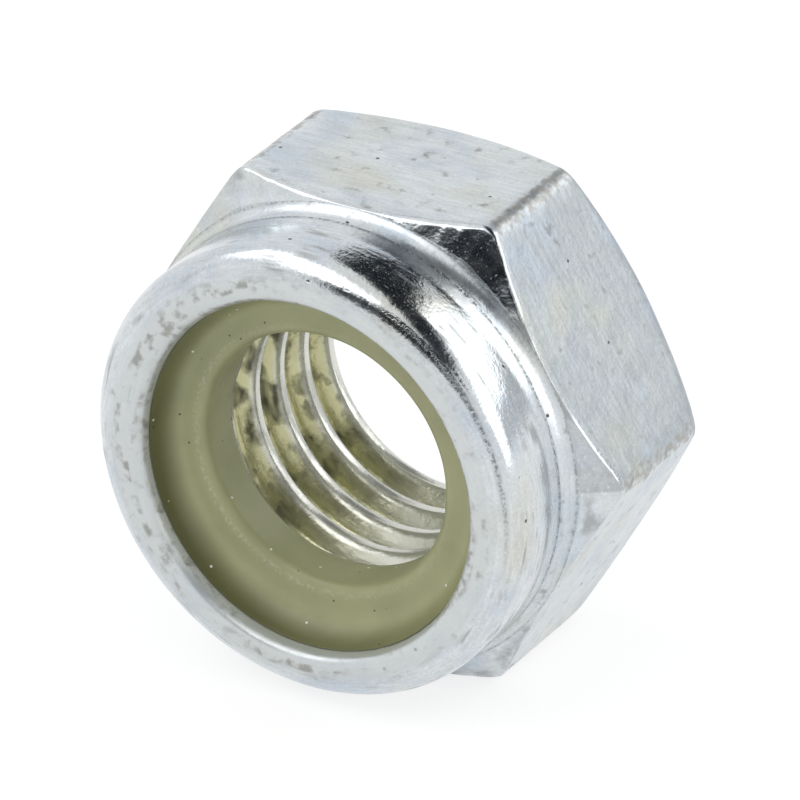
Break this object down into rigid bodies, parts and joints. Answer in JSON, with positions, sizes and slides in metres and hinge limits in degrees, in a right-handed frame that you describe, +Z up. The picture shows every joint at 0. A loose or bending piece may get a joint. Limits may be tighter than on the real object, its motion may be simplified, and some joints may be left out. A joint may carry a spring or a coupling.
{
  "type": "nylon insert lock nut",
  "caption": "Hexagon lock nut with a smooth rolled collar that holds a polyamide ring, lying on one of its flats.",
  "frame": {"origin": "centre of the bearing face, on the thread's axis", "axes": "+Y out of the bearing face along the thread, away from the collar; +Z up, square to the hexagon flat that it lies on; +X through two of the hexagon's edges"},
  "size_m": [0.0214, 0.0119, 0.0186],
  "materials": {
    "zinc_plated_steel": "bright zinc plate, fine mottling, handling marks and small dents",
    "polyamide": "moulded and turned polyamide, satin, olive grey"
  },
  "bodies": {
    "root": {"nut_body": "zinc_plated_steel", "nylon_insert": "polyamide"}
  },
  "joints": []
}
